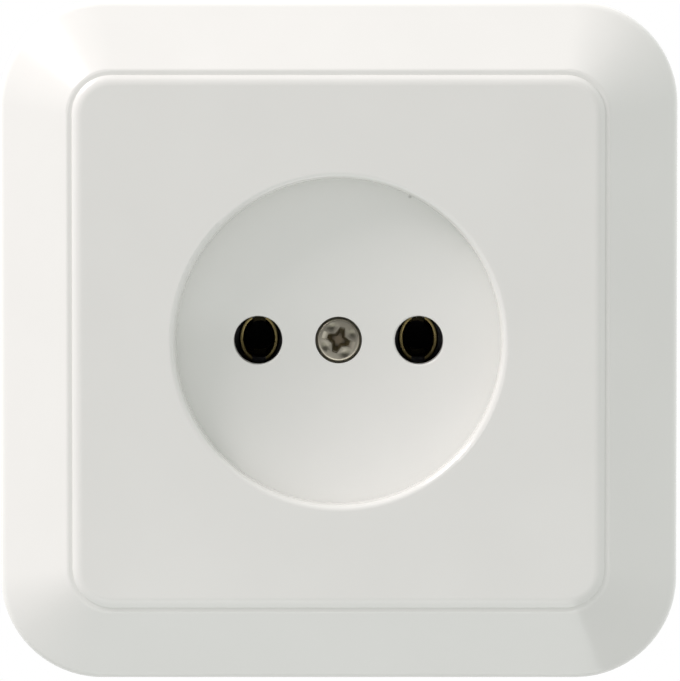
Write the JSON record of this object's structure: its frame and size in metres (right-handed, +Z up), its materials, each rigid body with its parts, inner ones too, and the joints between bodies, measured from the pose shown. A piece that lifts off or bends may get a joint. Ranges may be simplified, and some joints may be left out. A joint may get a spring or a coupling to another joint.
{
  "type": "wall socket",
  "caption": "Square unearthed flush wall socket with a round dish, pin holes, a central cover screw and spreading claws behind it.",
  "frame": {"origin": "middle of the box-screw pattern on the wall's surface", "axes": "+X to the right and +Z up as seen from the room, +Y into the wall"},
  "size_m": [0.08, 0.0314, 0.08],
  "materials": {
    "white_plastic": "glossy moulded white plastic",
    "black_plastic": "matt black moulding",
    "brass": "stamped brass",
    "spring_steel": "blued spring steel",
    "bracket_steel": "zinc-plated sheet steel",
    "nickel_screw": "nickel-plated steel",
    "zinc_fasteners": "zinc-plated steel"
  },
  "bodies": {
    "socket": {"cover_frame": "white_plastic", "cover_plate": "white_plastic", "socket_base": "black_plastic", "rear_cover": "black_plastic", "contact_left": "brass", "contact_right": "brass", "contact_spring_left": "spring_steel", "contact_spring_right": "spring_steel", "mounting_bracket": "bracket_steel", "cover_screw": "nickel_screw", "cover_screw_nut": "zinc_fasteners", "rear_cover_screw_top": "zinc_fasteners", "rear_cover_screw_bottom": "zinc_fasteners", "bracket_rivet_top": "zinc_fasteners", "bracket_rivet_bottom": "zinc_fasteners", "terminal_screw_left_top": "zinc_fasteners", "terminal_screw_left_bottom": "zinc_fasteners", "terminal_screw_right_top": "zinc_fasteners", "terminal_screw_right_bottom": "zinc_fasteners", "terminal_clamp_left_top": "zinc_fasteners", "terminal_clamp_left_bottom": "zinc_fasteners", "terminal_clamp_right_top": "zinc_fasteners", "terminal_clamp_right_bottom": "zinc_fasteners", "claw_pin_left": "zinc_fasteners", "claw_pin_right": "zinc_fasteners"},
    "claw_left": {"claw_left": "bracket_steel"},
    "claw_right": {"claw_right": "bracket_steel"},
    "claw_screw_left": {"claw_screw_left": "zinc_fasteners"},
    "claw_screw_right": {"claw_screw_right": "zinc_fasteners"}
  },
  "joints": [
    {"name": "claw_screw_left_turn", "type": "hinge", "parent": "socket", "child": "claw_screw_left", "pos_m": [-0.0232, 0, 0], "axis": [0, 1, 0], "range_deg": [0, 1565]},
    {"name": "claw_left_swing", "type": "hinge", "parent": "socket", "child": "claw_left", "pos_m": [-0.0186, 0.0042, 0], "axis": [0, 0, 1], "range_deg": [0, 25]},
    {"name": "claw_screw_right_turn", "type": "hinge", "parent": "socket", "child": "claw_screw_right", "pos_m": [0.0232, 0, 0], "axis": [0, 1, 0], "range_deg": [0, 1565]},
    {"name": "claw_right_swing", "type": "hinge", "parent": "socket", "child": "claw_right", "pos_m": [0.0186, 0.0042, 0], "axis": [0, 0, -1], "range_deg": [0, 25]}
  ],
  "couplings": [
    {"joint": "claw_left_swing", "follows": "claw_screw_left_turn", "ratio": 0.015973},
    {"joint": "claw_right_swing", "follows": "claw_screw_right_turn", "ratio": 0.015973}
  ]
}
